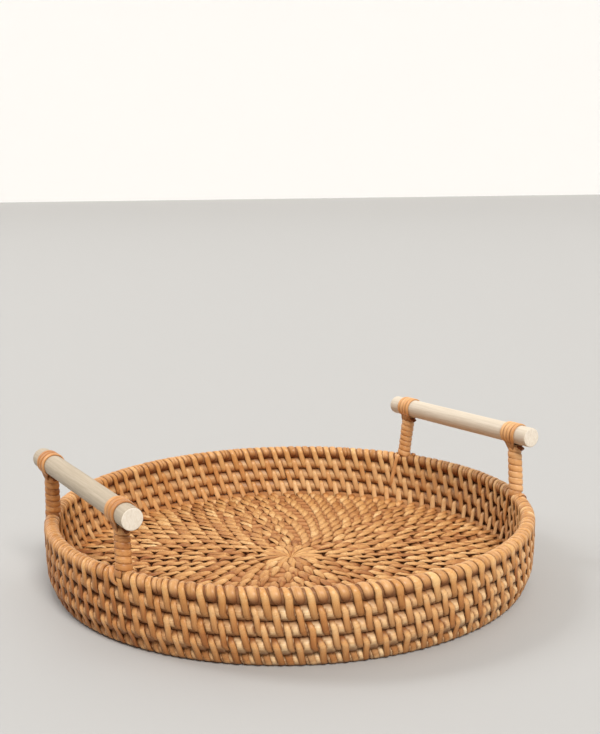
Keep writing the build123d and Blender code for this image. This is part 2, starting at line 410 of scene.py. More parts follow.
def beech():
    """Pale sanded dowel. Its grain runs along the flow's first axis."""
    n = Nodes("dowel_wood")
    flow, _ = n.attribute("flow")
    _, (tone, painted_shade, _) = n.attribute("shade")
    grain = n.noise(flow, (0.025, 1.5, 1.0), 5.0, 0.6, 0.5)
    fine = n.noise(flow, (0.10, 6.0, 1.0), 4.0, 0.65)
    fleck = n.noise(flow, (0.35, 5.0, 1.0), 2.0, 0.5)
    cloud = n.noise(flow, (0.03, 0.10, 1.0), 2.0, 0.5)
    level = n.plus(n.times(grain, 0.5), n.times(fine, 0.3))
    level = n.plus(n.plus(level, n.times(cloud, 0.2)), n.math("SUBTRACT", tone, 0.5))
    colour = n.ramp(level, (0.24, (172, 157, 136)), (0.44, (194, 179, 158)),
                    (0.64, (212, 199, 180)), (0.84, (226, 215, 199)))
    colour = n.mix(n.span(fleck, 0.66, 0.76, 0.0, 0.30), colour, linear(172, 146, 112))
    # painted shade near the posts and on the underside, from the shade attribute
    colour = n.mix(n.times(painted_shade, 0.12), colour, linear(150, 126, 98), "MULTIPLY")
    return n.surface(Base_Color=colour, Roughness=n.span(grain, 0.3, 0.7, 0.52, 0.68),
                     Normal=n.bump(level, 0.00006, 0.8), Specular_IOR_Level=0.35)


def beech_end():
    """The dowel's sawn end."""
    n = Nodes("dowel_end")
    flow, _ = n.attribute("flow")
    rings = n.noise(flow, (1.5, 0.5, 1.0), 3.0, 0.5, 0.6)
    pores = n.noise(flow, (5.0, 5.0, 1.0), 3.0)
    level = n.plus(n.times(rings, 0.6), n.times(pores, 0.4))
    colour = n.ramp(level, (0.30, (208, 195, 178)), (0.50, (225, 214, 198)),
                    (0.68, (236, 228, 216)))
    return n.surface(Base_Color=colour, Roughness=n.span(pores, 0.3, 0.7, 0.72, 0.9),
                     Normal=n.bump(level, 0.00012, 0.8), Specular_IOR_Level=0.35)


def steel():
    n = Nodes("pin_steel")
    wear = n.noise(n.add("ShaderNodeTexCoord").outputs["Object"], (900.0, 900.0, 900.0))
    colour = n.ramp(wear, (0.3, (120, 116, 110)), (0.7, (176, 174, 170)))
    return n.surface(Base_Color=colour, Metallic=1.0, Roughness=n.span(wear, 0.3, 0.7, 0.25, 0.45),
                     Normal=n.bump(wear, 0.00005, 0.5))


wall_mat = cane("wall_peel", ((148, 88, 42), (190, 128, 70), (210, 154, 96), (228, 184, 130)))
floor_mat = cane("floor_peel", ((140, 84, 40), (187, 133, 77), (213, 164, 104), (236, 200, 146)),
                 (108, 52, 22), patch=(150, 84, 42), gloss=0.5, coat=0.02, contrast=1.15, fibre=0.00005)
binding_mat = cane("binding_peel", ((156, 94, 46), (202, 142, 84), (222, 168, 112), (236, 194, 144)),
                   gloss=0.4)
rim_mat = cane("rim_peel", ((148, 90, 42), (190, 130, 70), (211, 155, 94), (230, 186, 128)),
               gloss=0.36, coat=0.16)
bead_mat = cane("rim_bead_peel", ((150, 98, 52), (190, 136, 82), (214, 162, 108), (232, 192, 142)),
                gloss=0.4, contrast=1.4)
core_mat = cane("cane_core", ((150, 102, 64), (192, 142, 94), (218, 174, 124), (236, 204, 158)),
                gloss=0.38, fibre=0.0001)
# a darker copy of the core's colours: painted shade for the floor's rings and the wall's foot inside, which
# show only between strips
shaded_floor_core_mat = cane("floor_core", ((128, 76, 40), (172, 116, 68), (198, 142, 90), (218, 168, 114)),
                      gloss=0.55, coat=0.0, fibre=0.0001)
hidden_core_mat = plain_core()
dowel_mat, dowel_end_mat = beech(), beech_end()
steel_mat = steel()


# ---- belts of peel round two rings ----
def belt(a, b, samples=(16, 14), bow=0.12):
    """One loop in the (r, z) plane round rings a and b, starting over a, with the run from a to b
    first. Gives the points, the outward directions, where each point is (run 1, 0 to 1; round b,
    1 to 2; run back, 2 to 3; round a, 3 to 4 and -0.5 to 0), and how far it is tucked in."""
    a, b = np.array(a), np.array(b)
    d = (b - a) / np.linalg.norm(b - a)
    out = np.array([-d[1], d[0]])
    runs, turn = samples
    where = np.concatenate([np.linspace(-0.5, 0, turn // 2, endpoint=False),
                            np.linspace(0, 1, runs, endpoint=False),
                            np.linspace(1, 2, turn, endpoint=False),
                            np.linspace(2, 3, runs, endpoint=False),
                            np.linspace(3, 3.5, turn // 2, endpoint=False)])
    leg = np.where(where < 0, 3, np.floor(where)).astype(int)
    t = np.where(where < 0, where + 1, where - np.floor(where))
    points, normals, tucked = [], [], []
    for part, u in zip(leg, t):
        if part == 0:
            p, n, deep = a + (b - a) * u + out * (HUG_R - bow * 4 * u * (1 - u)), out, 0.0
        elif part == 1:
            n = out * math.cos(math.pi * u) + d * math.sin(math.pi * u)
            p, deep = b + n * HUG_R, math.sin(math.pi * u)
        elif part == 2:
            p, n, deep = b + (a - b) * u - out * (HUG_R - bow * 4 * u * (1 - u)), -out, 0.0
        else:
            n = -out * math.cos(math.pi * u) - d * math.sin(math.pi * u)
            p, deep = a + n * HUG_R, math.sin(math.pi * u)
        points.append(p)
        normals.append(n)
        tucked.append(deep)
    return np.array(points), np.array(normals), where, np.array(tucked)


def laid(angle, points, normals, lift):
    """Paths and their outward directions: a belt's loop at angles, lifted a little off the rings."""
    r, z = points.T[:, None] + normals.T[:, None] * lift
    return turned(angle, r, z), turned(angle, *normals.T[:, None])


def side_of(angle):
    """Degrees from the facing side of the tray, counted to the right."""
    return (np.degrees(angle - FACING) + 180) % 360 - 180


def front_left(angle):
    """1 where the tray faces front left, 0 elsewhere, with soft ends."""
    return smooth(-95, -75, side_of(angle)) * smooth(30, 16, side_of(angle))


def rim_spread(angle):
    """How much wider the rim's long loops lie on top of the rim, in mm: nothing at the front left."""
    return 1.45 * (1 - front_left(angle))


def spiral_row(name, a, b, phase, moves, widths, mat, slot, nodes, tucks=(1.0, 1.0), samples=(16, 14),
               on_rim=False):
    """A row of the wall: one strip that loops on and on round rings a and b. moves are the shares
    of a stitch for the run, the pass round b, the run back and the pass round a; widths are the
    strip's widths on the run, the run back and tucked in. tucks say how much painted shade the
    passes round b and a get."""
    points, normals, where, tucked = belt(a, b, samples)
    n, k = len(where), WALL_STITCHES
    ends = np.cumsum((0,) + tuple(moves))
    x = np.interp(where, (-0.5, 0, 1, 2, 3, 3.5),
                  (-moves[3] / 2, 0, ends[1], ends[2], ends[3], ends[3] + moves[3] / 2))
    front = np.interp(where, (-0.5, 0, 1, 2, 3, 3.5), (0.5, 1, 1, 0, 0, 0.5))
    wobble, wobble_back = rng.normal(0, 0.028, k), rng.normal(0, 0.028, k)
    tilt = rng.normal(0, 0.022, k)
    stout, tone = rng.normal(1, 0.055, k), tones_of(k, 0.5, 0.2)
    ahead, behind = np.roll(wobble, -1), np.roll(wobble_back, 1)
    w_front = np.where(where > 3, ahead[:, None], wobble[:, None])
    w_back = np.where(where < 0, behind[:, None], wobble_back[:, None])
    lean = np.interp(where, (-0.5, 0, 1, 1.5), (0, -1, 1, 0))[None] * tilt[:, None]
    at = (np.arange(k)[:, None] + phase + x[None]
          + front * w_front + (1 - front) * w_back + lean)
    angle = stitch_angle(at)
    low = smooth(2.6, 0.9, points[:, 1])        # under the tray a strip is pressed flat
    lift = rng.normal(0, 0.05, (k, 1)) * ((1 - tucked) * (1 - low))[None]
    path, normal = laid(angle, points, normals, lift)
    run_w, back_w, tucked_w = widths
    width = np.interp(where, (-0.5, -0.2, 0, 1, 1.2, 1.5, 1.8, 2, 3, 3.2, 3.5),
                      (tucked_w, run_w * 0.93, run_w * 1.03, run_w, run_w * 0.92,
                       tucked_w, back_w * 0.9, back_w, back_w, back_w * 0.92, tucked_w))
    blend = np.sin(np.linspace(0, np.pi, n)) ** 0.3
    half = width[None] / 2 * (1 + (stout[:, None] - 1) * blend)
    if on_rim:
        half = half + rim_spread(angle) / 2 * smooth(0.42, 0.08, np.minimum(where, 3.6 - where))[None]
    # painted light: paler inside, most on the right, with a painted highlight where it comes over the top;
    # painted shade where the tray faces left
    side = side_of(angle)
    tones = tone[:, None] + (1 - front)[None] * (0.42 + 0.34 * smooth(-10, 25, side))
    tones = tones + (0.42 * smooth(0.42, 0.02, np.abs(where)))[None]
    tones = tones - 0.32 * front[None] * smooth(-12, -50, side) * smooth(-120, -95, side)
    # painted shade where the strip is tucked between rings, towards the lower end of its outer run and at
    # the lower end of its inner run
    deep = smooth(0.55, 1.0, tucked) * np.where((where > 0.5) & (where < 2.5), tucks[0], tucks[1])
    deep = np.maximum(deep, 0.5 * smooth(0.25, 1.05, where) * (where < 1.6))
    deep = np.maximum(deep, 0.22 * smooth(2.7, 1.95, where) * (where > 1.4))[None] * np.ones((k, 1))
    thick = STRAP_T * (1 - 0.26 * tucked ** 2) * (1 - 0.42 * low) * np.ones((k, 1))
    one = lambda v: v.reshape((1, k * n) + v.shape[2:])
    arrays = strips(one(path), one(normal), one(half), one(half), one(thick),
                    one(tones), one(deep), True, STRAP)
    add_piece(name, *arrays, [mat], slot, nodes)


moves = (RUN, PASS, INNER_RUN, PASS)
phases = [ROW_STEP * (TOP - 1 - i) % 1 for i in range(TOP)]         # of the rows, lowest first
for i in range(TOP - 1):
    spiral_row(f"wall_weave_{i + 1}", WALL[i + 1], WALL[i], phases[i], moves, (STRAP_W, INSIDE_W, TUCKED_W),
               wall_mat, "wall_peel", [f"wall_stitches_{i + 1}"], (1.0 if i else 0.3, 1.0))
spiral_row("rim_long_loops", WALL[TOP], WALL[TOP - 1], phases[-1], moves, (RIM_W, INSIDE_W, TUCKED_W),
           rim_mat, "binding_peel", ["rim_stitches"], (1.0, 0.0), on_rim=True)
corner_phase = phases[0] + CORNER_STEP
spiral_row("corner_weave", floor_ring(FLOOR_RINGS), WALL[0], corner_phase, CORNER_MOVES,
           (4.5, 3.9, 3.2), wall_mat, "wall_peel", ["corner_stitches"], (0.0, 1.0), (14, 18))


# ---- rings of the wall: pinched under the strips, swelling where the core shows ----
def strips_on_ring(i, psi):
    """Where strips cross ring i of the wall, in stitches, and how hard each presses, round it."""
    up, out = np.sin(psi), np.cos(psi)
    inside = out < 0
    slope = np.where(inside, INNER_RUN, RUN) / 2 * up
    if i:
        first = phases[i - 1]
        over = np.where(inside, first - PASS + slope, first - slope)
        over = np.where(up >= 0, first - PASS * psi / np.pi, over)
        crossings = [(over, smooth(-0.85, -0.45, up))]
    else:
        half_turn = np.where(psi > np.pi, psi - 2 * np.pi, psi) / np.pi
        over = corner_phase + CORNER_MOVES[0] + CORNER_MOVES[1] * (0.5 - half_turn)
        crossings = [(over, smooth(-0.3, 0.2, out))]
    if i < TOP:
        last = phases[i] + RUN
        under = np.where(inside, last + PASS + slope, last - slope)
        under = np.where(up <= 0, last + PASS * (-psi % (2 * np.pi)) / np.pi, under)
        crossings.append((under, smooth(0.85, 0.45, up)))
    return crossings


def swelling(i, up, out):
    """How far ring i of the wall swells between its strips, round it, in mm."""
    face_swell = 0.25 + 0.75 * smooth(-0.25, 0.25, out) if i < TOP else 0.1
    # the rings touch where nothing runs between them
    above = math.dist(WALL[i + 1], WALL[i]) / 2 if i < TOP else 3.4
    below = math.dist(WALL[i], WALL[i - 1]) / 2 if i else 3.9
    reach = np.where(up > 0, above + 0.2 * (i == 0), below + 0.45 * (i == 1)) + 0.2 - SLIM_CORE_R
    steep = np.abs(up)
    fill = 0.2 + (face_swell - 0.2) * smooth(0.85, 0.3, steep)
    fill = fill + (reach - 0.2) * smooth(0.68, 0.93, steep)
    if i == 0:                  # this one also meets the floor
        to_floor = FLOOR_EDGE_GAP - CORE_R - 3.2
        fill = fill + to_floor * smooth(0.55, 0.9, -out) * (1 - 0.75 * smooth(0, 0.4, up))
    return fill


def ring_painted_shade(i, side, up, out, swell):
    """Painted shade on ring i of the wall: under its strips, between the rings and inside the tray."""
    # painted shade on the lower half of the outer face, in the crevices where rings meet, where the core is
    # pinched under strips, inside the tray by side, and all round the rim's core
    shaded = 0.02 + 0.4 * smooth(-0.25, 0.25, out) * smooth(0.25, 0.8, -up)
    shaded = np.maximum(shaded, 0.95 * smooth(0.58, 0.88, np.abs(up)))
    deep = 1 - smooth(0.0, 0.85, swell) * (1 - shaded)
    inner = smooth(0.15, -0.45, out)
    if i == 0:
        return np.maximum(deep * (1 - inner), 0.3 * inner)
    gaps = np.interp(side, (-120, -100, -60, 60, 82, 118, 140), (0.1, 0.6, 0.7, 0.7, 0.88, 0.88, 0.1))
    deep = np.maximum(deep, gaps * inner)
    return np.maximum(deep, 0.85) if i == TOP else deep


def wall_ring(name, i, nodes):
    per, around = 20, 16            # points from stitch to stitch, and round the ring
    along = WALL_STITCHES * per
    x = np.arange(along)[:, None] * WALL_STITCHES / along
    psi = np.radians(np.arange(around) * 360 / around)[None]
    up, out = np.sin(psi), np.cos(psi)
    pitch = 2 * np.pi * RIM_R / WALL_STITCHES
    face = smooth(-0.25, 0.25, out)
    swell = 1.0
    for place, press in strips_on_ring(i, psi):
        gap = np.abs((x - place + 0.5) % 1 - 0.5) * pitch
        beside = smooth(1.35, 2.1 + 0.4 * face, gap)
        beside = np.where(np.abs(up) > 0.6, smooth(1.0, 1.45, gap), beside)
        swell = swell * (1 - press * (1 - beside))
    lumps = np.interp(np.arange(along), np.arange(0, along + per, per),
                      looped(rng.normal(0, 0.05, WALL_STITCHES)))[:, None]
    tube = SLIM_CORE_R + swelling(i, up, out) * swell + lumps * swell * out ** 2
    angle = stitch_angle(x) + 0 * psi
    co = turned(angle, WALL[i][0] + tube * out, WALL[i][1] + tube * up)
    flow = np.stack([x * pitch + 0 * psi, psi * CORE_R + 0 * x, 0 * angle + i * 3.7], -1)
    side = side_of(angle)
    # painted light and shade on the outer face by side: darker where the tray faces left, paler where it
    # faces front and right. The inner face is a little paler all round.
    painted_light_by_side = np.interp(side, (-180, -70, -30, 0, 70, 180), (0, -0.34, -0.22, 0.42, 0.42, 0))
    tone = np.repeat(tones_of(WALL_STITCHES, 0.5, 0.16), per)[:, None] + 0.2 * (1 - face) + painted_light_by_side * face
    deep = ring_painted_shade(i, side, up, out, swell)
    shade = np.stack([tone, deep, 0 * deep], -1)
    piece = add_piece(name, co, grid_quads(along, around, flip=True), flow, shade,
                      [core_mat, shaded_floor_core_mat], "cane_core", nodes)
    if i == 0:                  # its inner side looks like the floor's rings
        foot = np.tile(np.cos(psi[0] + np.pi / around) < -0.15, along)
        piece.data.polygons.foreach_set("material_index", foot.astype(np.int32))


for i in range(TOP):
    wall_ring(f"wall_core_{i + 1}", i, [f"wall_coil_{i + 1}"])
wall_ring("rim_core", TOP, ["rim_coil"])


# ---- short wraps of the rim, one or two between two long loops ----
def rim_gaps():
    """The wraps in the gaps between the long loops: their places, in stitches, and widths."""
    places, widths = [], []
    for k in range(WALL_STITCHES):
        here = stitch_angle([k + phases[-1] + 0.1, k + phases[-1] + 0.9])
        loop_w = RIM_W + float(rim_spread(here.mean()))
        room = (here[1] - here[0]) / 0.8 * RIM_R - loop_w
        if rng.random() < np.interp(side_of(here.mean()), *zip(*PLUMP_SHARE)):
            places.append(k + 0.5 + rng.normal(0, 0.012))
            widths.append(min(room * rng.uniform(0.84, 0.94), BEAD_W))
        else:
            share = rng.uniform(0.42, 0.58)
            start = loop_w / (room + loop_w) / 2
            span = 1 - 2 * start
            places += [k + start + span * share / 2, k + start + span * (1 + share) / 2]
            widths += [room * share * 1.02, room * (1 - share) * 1.02]
    return np.array(places), np.array(widths)


def rim_shorts():
    places, widths = rim_gaps()
    around = 34
    psi = -100 - 360 * np.arange(around) / around
    move = np.interp(-psi, (100, 180, 270, 360, 430, 460), (-0.10, -0.314, -0.157, 0, 0.07, -0.10))
    angle = stitch_angle(places[:, None] + phases[-1] + move[None])
    c, s = np.cos(np.radians(psi)), np.sin(np.radians(psi))
    raised = front_left(stitch_angle(places + phases[-1]))
    plump = (0.86 + 0.36 * smooth(3.5, BEAD_W, widths) * raised)[:, None]
    hug = HUG_R + rng.normal(0.02, 0.06, (len(places), 1))
    path = turned(angle, RIM_R + hug * c[None], RIM_Z + hug * s[None])
    normal = turned(angle, c, s)
    hidden = smooth(0.35, 0.95, -s)
    half = widths[:, None] / 2 * (1 - 0.25 * hidden)[None]
    tone = tones_of(len(places), 0.5, 0.18)[:, None] + 0 * angle
    # painted shade on the lower half of each wrap
    deep = np.broadcast_to(smooth(-0.5, 0.42, -s) * 0.9, angle.shape)
    thick = STRAP_T * plump * (1 - 0.3 * hidden)[None]
    arrays = strips(path, normal, half, half, thick, tone, deep, True, ROUND_PEEL)
    add_piece("rim_short_wraps", *arrays, [bead_mat], "binding_peel", ["rim_wraps"])


rim_shorts()


# ---- floor: leaf-shaped strips, each as wide as its neighbours leave room for ----
def room_beside(angles, others, r):
    """Half of the way from each angle to the nearest of the others, to the left and right, in mm."""
    others = np.sort(np.asarray(others) % 360)
    lap = np.concatenate([others - 360, others, others + 360])
    i = np.searchsorted(lap, angles)
    left, right = angles - lap[i - 1], lap[i] - angles
    return np.radians(left) * r / 2, np.radians(right) * r / 2


rows = {FLOOR_RINGS: sorted(np.degrees(stitch_angle(np.arange(WALL_STITCHES) + corner_phase)) % 360)}
for j in range(FLOOR_RINGS - 1, 1, -1):
    count = max(STAR_STITCHES, 5 * j + 3)
    clear = math.degrees((FLOOR_PEEL_W + 0.15) / floor_ring(j + 1)[0])
    rows[j] = between(evenly(count), rows[j + 1], clear)
rows[1] = evenly(STAR_STITCHES, 0.5)


def leaf_side(where, near_in, near_out, same):
    """Half widths of a row's strips to one side: slim on the two rings, full between them. The
    rest are the rooms that neighbours leave, on the inner ring, on the outer one and in the row."""
    at_in = np.clip(near_in * 0.9, 0.85, 2.6)
    at_out = np.clip(near_out * 0.9, 0.9, 2.6)
    middle = np.clip(same * 0.58, 1.75, 3.0)
    keys = (-0.5, -0.15, 0.0, 0.35, 0.65, 1.0, 1.2, 1.5)
    values = np.stack([at_in * 0.35, at_in * 0.62, at_in, (at_in + 2 * middle) / 3, middle,
                       at_out, at_out * 0.62, at_out * 0.35])
    # the way back, underneath, mirrors the way out
    mirrored = np.where(where <= 1.5, where, 3.0 - where)
    return np.stack([np.interp(mirrored, keys, column) for column in values.T])


def floor_row(j):
    """Arrays for the loops round floor rings j and j + 1."""
    inner, outer = floor_ring(j), floor_ring(j + 1)
    angles = np.array(rows[j])
    k = len(angles)
    points, normals, where, tucked = belt(inner, outer, (10, 12), bow=0.1)
    in_l, in_r = room_beside(angles, rows[j - 1], inner[0])
    out_l, out_r = room_beside(angles, rows[j + 1], outer[0])
    mid_r = (inner[0] + outer[0]) / 2
    same_r = np.radians(np.diff(np.append(angles, angles[0] + 360))) * mid_r / 2
    same_l = np.roll(same_r, 1)
    left, right = leaf_side(where, in_l, out_l, same_l), leaf_side(where, in_r, out_r, same_r)
    slant = rng.normal(0.45, 0.3, k) / mid_r
    shift = np.interp(where, (-0.5, 0, 1, 1.5, 2, 3, 3.5), (-1, -1, 1, 1, 1, -1, -1))
    angle = np.radians(angles)[:, None] + shift[None] * slant[:, None]
    on_top = ((1 - tucked) * (where < 1.5))[None]
    lift = rng.uniform(0.0, 0.22, (k, 1)) * on_top
    path, normal = laid(angle, points, normals, lift)
    # painted light: paler at the inner end of each strip; painted shade where it is tucked in and towards
    # its outer end
    tone = tones_of(k, 0.5, 0.24)[:, None] + 0.3 * (smooth(0.6, 0.0, np.abs(where)) - 0.2)[None]
    deep = 0.95 * smooth(0.56, 0.96, tucked) + 0.3 * smooth(0.5, 1.05, where) * (where < 1.4)
    deep = np.minimum(deep, 0.95)[None] + 0 * angle
    roll = np.radians(rng.normal(0, 7.0, k))[:, None] * on_top
    thick = (1.0 - 0.3 * ((where > 1.6) & (where < 3.4)))[None] + 0 * angle
    return strips(path, normal, right, left, thick, tone, deep, True, ROUND_PEEL, roll)


def floor_core(j):
    """Arrays for floor ring j: flattened, so that it touches its neighbours."""
    radius, height = floor_ring(j)
    along, around = 8 * (2 * j + 4), 18
    angle = (np.arange(along) * 2 * np.pi / along)[:, None]
    psi = (np.arange(around) * 2 * np.pi / around)[None]
    out = np.cos(psi)
    wide, high = FLOOR_PITCH / 2 + 0.04, 3.32
    r = radius + wide * out * np.abs(out) ** -0.12 + 0 * angle
    co = turned(angle, r, height + high * np.sin(psi) + 0 * angle)
    flow = np.stack([angle * radius + 0 * psi, psi * CORE_R + 0 * angle, 5.3 * j + 0 * r], -1)
    tone = np.interp(angle, np.linspace(0, 2 * np.pi, 9), looped(rng.uniform(0.3, 0.6, 8)))
    # painted shade at the sides, where the rings touch
    deep = 0.12 + 0.75 * smooth(0.4, 0.9, np.abs(out)) + 0 * angle
    shade = np.stack([tone + 0 * r, deep, 0 * r], -1)
    return co, grid_quads(along, around, flip=True), flow, shade


for j in range(1, FLOOR_RINGS + 1):
    add_piece(f"floor_core_{j:02d}", *floor_core(j), [shaded_floor_core_mat], "cane_core",
              [f"base_coil_{j:02d}"])


def star_petals():
    """The innermost row: strips that taper to the hole in the middle."""
    k = STAR_STITCHES
    r1, z1 = floor_ring(1)
    r2, z2 = floor_ring(2)
    hug = HUG_R + 0.05
    top_r = [1.1, 1.25, 1.9, 3.2, 5.2, 7.4, r1, 11.0, 14.2, r2, r2 + 2.3, r2 + 3.3, r2 + hug]
    top_z = [z1 - 1.2, z1 + 0.6, z1 + 1.7, z1 + 2.3, z1 + 2.9, z1 + 3.3, z1 + hug, z1 + hug - 0.08,
             z2 + hug - 0.05, z2 + hug, z2 + 2.5, z2 + 1.0, z2 - 0.4]
    bottom_r = [r2 + 3.1, r2 + 2.0, r2, 13.0, r1, 5.5, 2.6, 1.3]
    bottom_z = [z2 - 1.6, z2 - 2.8, z2 - hug, z1 - hug, z1 - hug, z1 - hug + 0.1, z1 - hug + 0.4,
                z1 - 2.2]
    per = 4                                # points from one of these to the next
    t = np.arange(len(top_r + bottom_r) * per) / per
    at = np.floor(t).astype(int)
    r, z = (catmull([np.roll(v, 1 - s)[at] for s in range(4)], t - at)
            for v in (top_r + bottom_r, top_z + bottom_z))
    dr, dz = np.roll(r, -1) - np.roll(r, 1), np.roll(z, -1) - np.roll(z, 1)
    length = np.hypot(dr, dz)
    nr, nz = -dz / length, dr / length
    angles = np.radians(np.array(rows[1]) + rng.normal(0, 0.9, k))
    out_l, out_r = room_beside(np.degrees(angles) % 360, rows[2], r2)
    reach = np.pi / k * 0.99
    sides = []
    for near in (out_l, out_r):
        near = np.clip(near * 0.98, 1.3, 2.6)
        wide = np.minimum(r * reach, 3.2)[None]
        narrow = np.interp(r, (14.5, r2 + 0.5, r2 + 3.4), (0, 1, 1))[None]
        half = wide * (1 - narrow) + narrow * near[:, None]
        half = half * np.interp(r, (r2 + 1.0, r2 + 3.4), (1.0, 0.6))[None]
        sides.append(np.minimum(half, wide))
    angle = angles[:, None] + 0 * r[None]
    thick = np.interp(r, (1.0, 4.0), (0.35, 0.8))[None] + 0 * angle
    tone = tones_of(k, 0.6, 0.2)[:, None] + 0 * angle
    # painted shade where the strips tuck under the next ring and at the hole in the middle
    deep = (0.8 * (r > r2 + 3.2) + 0.6 * (r < 1.4))[None] + 0 * angle
    roll = np.radians(rng.normal(0, 3, k))[:, None] + 0 * angle
    return strips(turned(angle, r, z), turned(angle, nr, nz), sides[1], sides[0], thick, tone, deep,
                  True, ROUND_PEEL, roll)


ZONE_ROWS = 3
for zone in range(1, (FLOOR_RINGS - 1) // ZONE_ROWS + 1):
    outermost = min(ZONE_ROWS * zone, FLOOR_RINGS - 1)
    innermost = max(ZONE_ROWS * zone - ZONE_ROWS + 1, 2)
    arrays = joined([floor_row(j) for j in range(outermost, innermost - 1, -1)])
    add_piece(f"floor_weave_{zone}", *arrays, [floor_mat], "floor_peel", [f"base_stitches_{zone}"])
add_piece("floor_star", *star_petals(), [floor_mat], "floor_peel", ["star_stitches"])


# ---- handles ----
def spline(points, per):
    """A smooth open line through points."""
    p = np.asarray(points, float)
    p = np.concatenate([[2 * p[0] - p[1]], p, [2 * p[-1] - p[-2]]])
    out = []
    for i in range(1, len(p) - 2):
        out += [catmull(p[i - 1:i + 3], u) for u in np.arange(per) / per]
    out.append(p[-2])
    return np.array(out)


def one_strip(points, normals, width, thick, tone, deep, profile=PEEL):
    n = len(points)
    row = lambda v: np.broadcast_to(np.asarray(v, float), (n,))[None]
    half = row(width) / 2
    return strips(np.asarray(points)[None], np.asarray(normals)[None], half, half, row(thick),
                  row(tone), row(deep), False, profile)


def post_wrap(foot, top, painted_light):
    """Turns of peel round a post, one after another."""
    axis = top - foot
    length = np.linalg.norm(axis)
    axis = axis / length
    start, end = WRAP_START + 0.6, length - DOWEL_R - 0.2
    turns = round((end - start) / WRAP_TURN)
    side = np.cross(axis, (0.0, 0.0, 1.0) if abs(axis[2]) < 0.9 else (1.0, 0.0, 0.0))
    side /= np.linalg.norm(side)
    other = np.cross(axis, side)
    t = np.linspace(0, turns, turns * 30 + 1)
    lay = start + (end - start) * t / turns
    lay = lay + 0.22 * np.interp(t, np.arange(turns + 1), rng.normal(0, 0.6, turns + 1))
    flare = 0.75 * np.exp(-(lay - start) / 2.6) - 0.45 * smooth(end - 7, end, lay)
    radius = 3.38 + flare + np.interp(t, np.arange(turns + 1), rng.normal(0, 0.07, turns + 1))
    swing = -2 * np.pi * t + rng.uniform(0, 6.28)
    out = np.cos(swing)[:, None] * side + np.sin(swing)[:, None] * other
    points = foot + axis * lay[:, None] + out * radius[:, None]
    width = (end - start) / turns * 1.06
    # the handle's painted light and shade, and painted shade near the top under the dowel and at the foot
    tone = painted_light + np.interp(t, np.arange(turns + 1), tones_of(turns + 1, 0.5, 0.16))
    deep = 0.55 * smooth(end - 3.5, end, lay) + 0.4 * smooth(start + 1.6, start, lay)
    return one_strip(points, out, width, 1.12, tone, deep)


def lashing(top, along, out, up, foot, painted_light):
    """Bands over the dowel that come together on the post, and the tucked end."""
    parts = []
    down = (foot - top) / np.linalg.norm(foot - top)
    count = 4 if out[0] > 0 else 3
    broad = LASHING_L / count
    for number in range(count):
        y = (number - (count - 1) / 2) * broad + rng.normal(0, 0.1)
        line, face = [], []
        for a in np.radians(np.arange(-48, 229, 12)):       # over the dowel
            n = out * math.cos(a) + up * math.sin(a)
            pinch = 1 - 0.32 * smooth(0.25, 0.9, -math.sin(a))
            wander = 0.1 * math.sin(2 * a + number)
            line.append(top + n * (DOWEL_R + 0.02) + along * (y * pinch + wander))
            face.append(n)
        for way, where in ((1, 0), (-1, len(line) + 2)):    # and down both sides of the post
            base = top + down * (DOWEL_R + 4.2) + out * way * 2.3 + along * y * 0.30
            neck = top + down * (DOWEL_R + 1.2) + out * way * 3.5 + along * y * 0.46
            line[where:where] = [base, neck][::way]
            face[where:where] = [out * way, out * way - up * 0.4][::way]
        points, normals = spline(line, 3), spline(face, 3)
        s = np.linspace(0, 1, len(points))
        # painted shade at both ends, where the bands go down the post under the dowel; the bands' tone
        # carries the handle's painted light and shade
        deep = 0.6 * smooth(0.12, 0.02, s) + 0.6 * smooth(0.88, 0.98, s)
        width = broad * 0.96 - 0.9 * (smooth(0.16, 0.02, s) + smooth(0.84, 0.98, s))
        parts.append(one_strip(points, normals, width, 1.1, painted_light + rng.uniform(0.35, 0.7), deep, STRAP))
    start = top + down * (DOWEL_R + 2.2) - along * 1.5
    tail = spline([start, start - along * 2.6 + up * 1.0, start - along * 4.8 + up * 0.8,
                   start - along * 6.2 - up * 0.2], 5)
    # the tucked end under the dowel is painted almost fully in shade
    parts.append(one_strip(tail, np.broadcast_to(-up, tail.shape), 3.0, 2.0, 0.15, 0.95, ROUND_PEEL))
    return joined(parts)


def rim_face(angle, psi, lift):
    """A point and its outward direction on the wrapped rim."""
    n = turned(angle, math.cos(psi), math.sin(psi))
    return turned(angle, RIM_R, RIM_Z) + n * (HUG_R + STRAP_T + lift), n


def foot_ties(angle):
    """A slanted strip beside a post's foot, and the strand down the inside of the wall."""
    line = [rim_face(angle - (9.0 * (1 - s) + 0.6) / RIM_R, math.radians(105 - 160 * s),
                     0.05 - 0.9 * abs(2 * s - 1) ** 6) for s in np.linspace(0, 1, 9)]
    points, normals = (spline(part, 4) for part in zip(*line))
    s = np.linspace(0, 1, len(points))
    # painted shade where the strip's end tucks under the rim
    slanted = one_strip(points, normals, 3.1 - 0.8 * (abs(2 * s - 1) ** 4), 0.85,
                        rng.uniform(0.1, 0.35), 0.5 * smooth(0.8, 1.0, s))
    line = []
    over = 0.3                  # share of the strand that lies on the rim
    for s in np.linspace(0, 1, 8):
        at = angle + (1.0 + 7.5 * s) / RIM_R
        if s < over:
            line.append(rim_face(at, math.radians(100 + 80 * s / over), -0.5 * (s == 0)))
        else:
            r = RIM_R - HUG_R - STRAP_T - 0.1 + 1.0 * (s == 1)
            line.append((turned(at, r, RIM_Z - 21.0 * (s - over) / (1 - over)), turned(at, -1.0, 0.0)))
    points, normals = (spline(part, 5) for part in zip(*line))
    s = np.linspace(0, 1, len(points))
    # painted shade at the strand's lower end
    strand = one_strip(points, normals, 2.9 - 0.7 * smooth(0.8, 1, s), 0.8,
                       rng.uniform(0.5, 0.8), 0.3 * smooth(0.85, 1.0, s))
    return joined([slanted, strand])


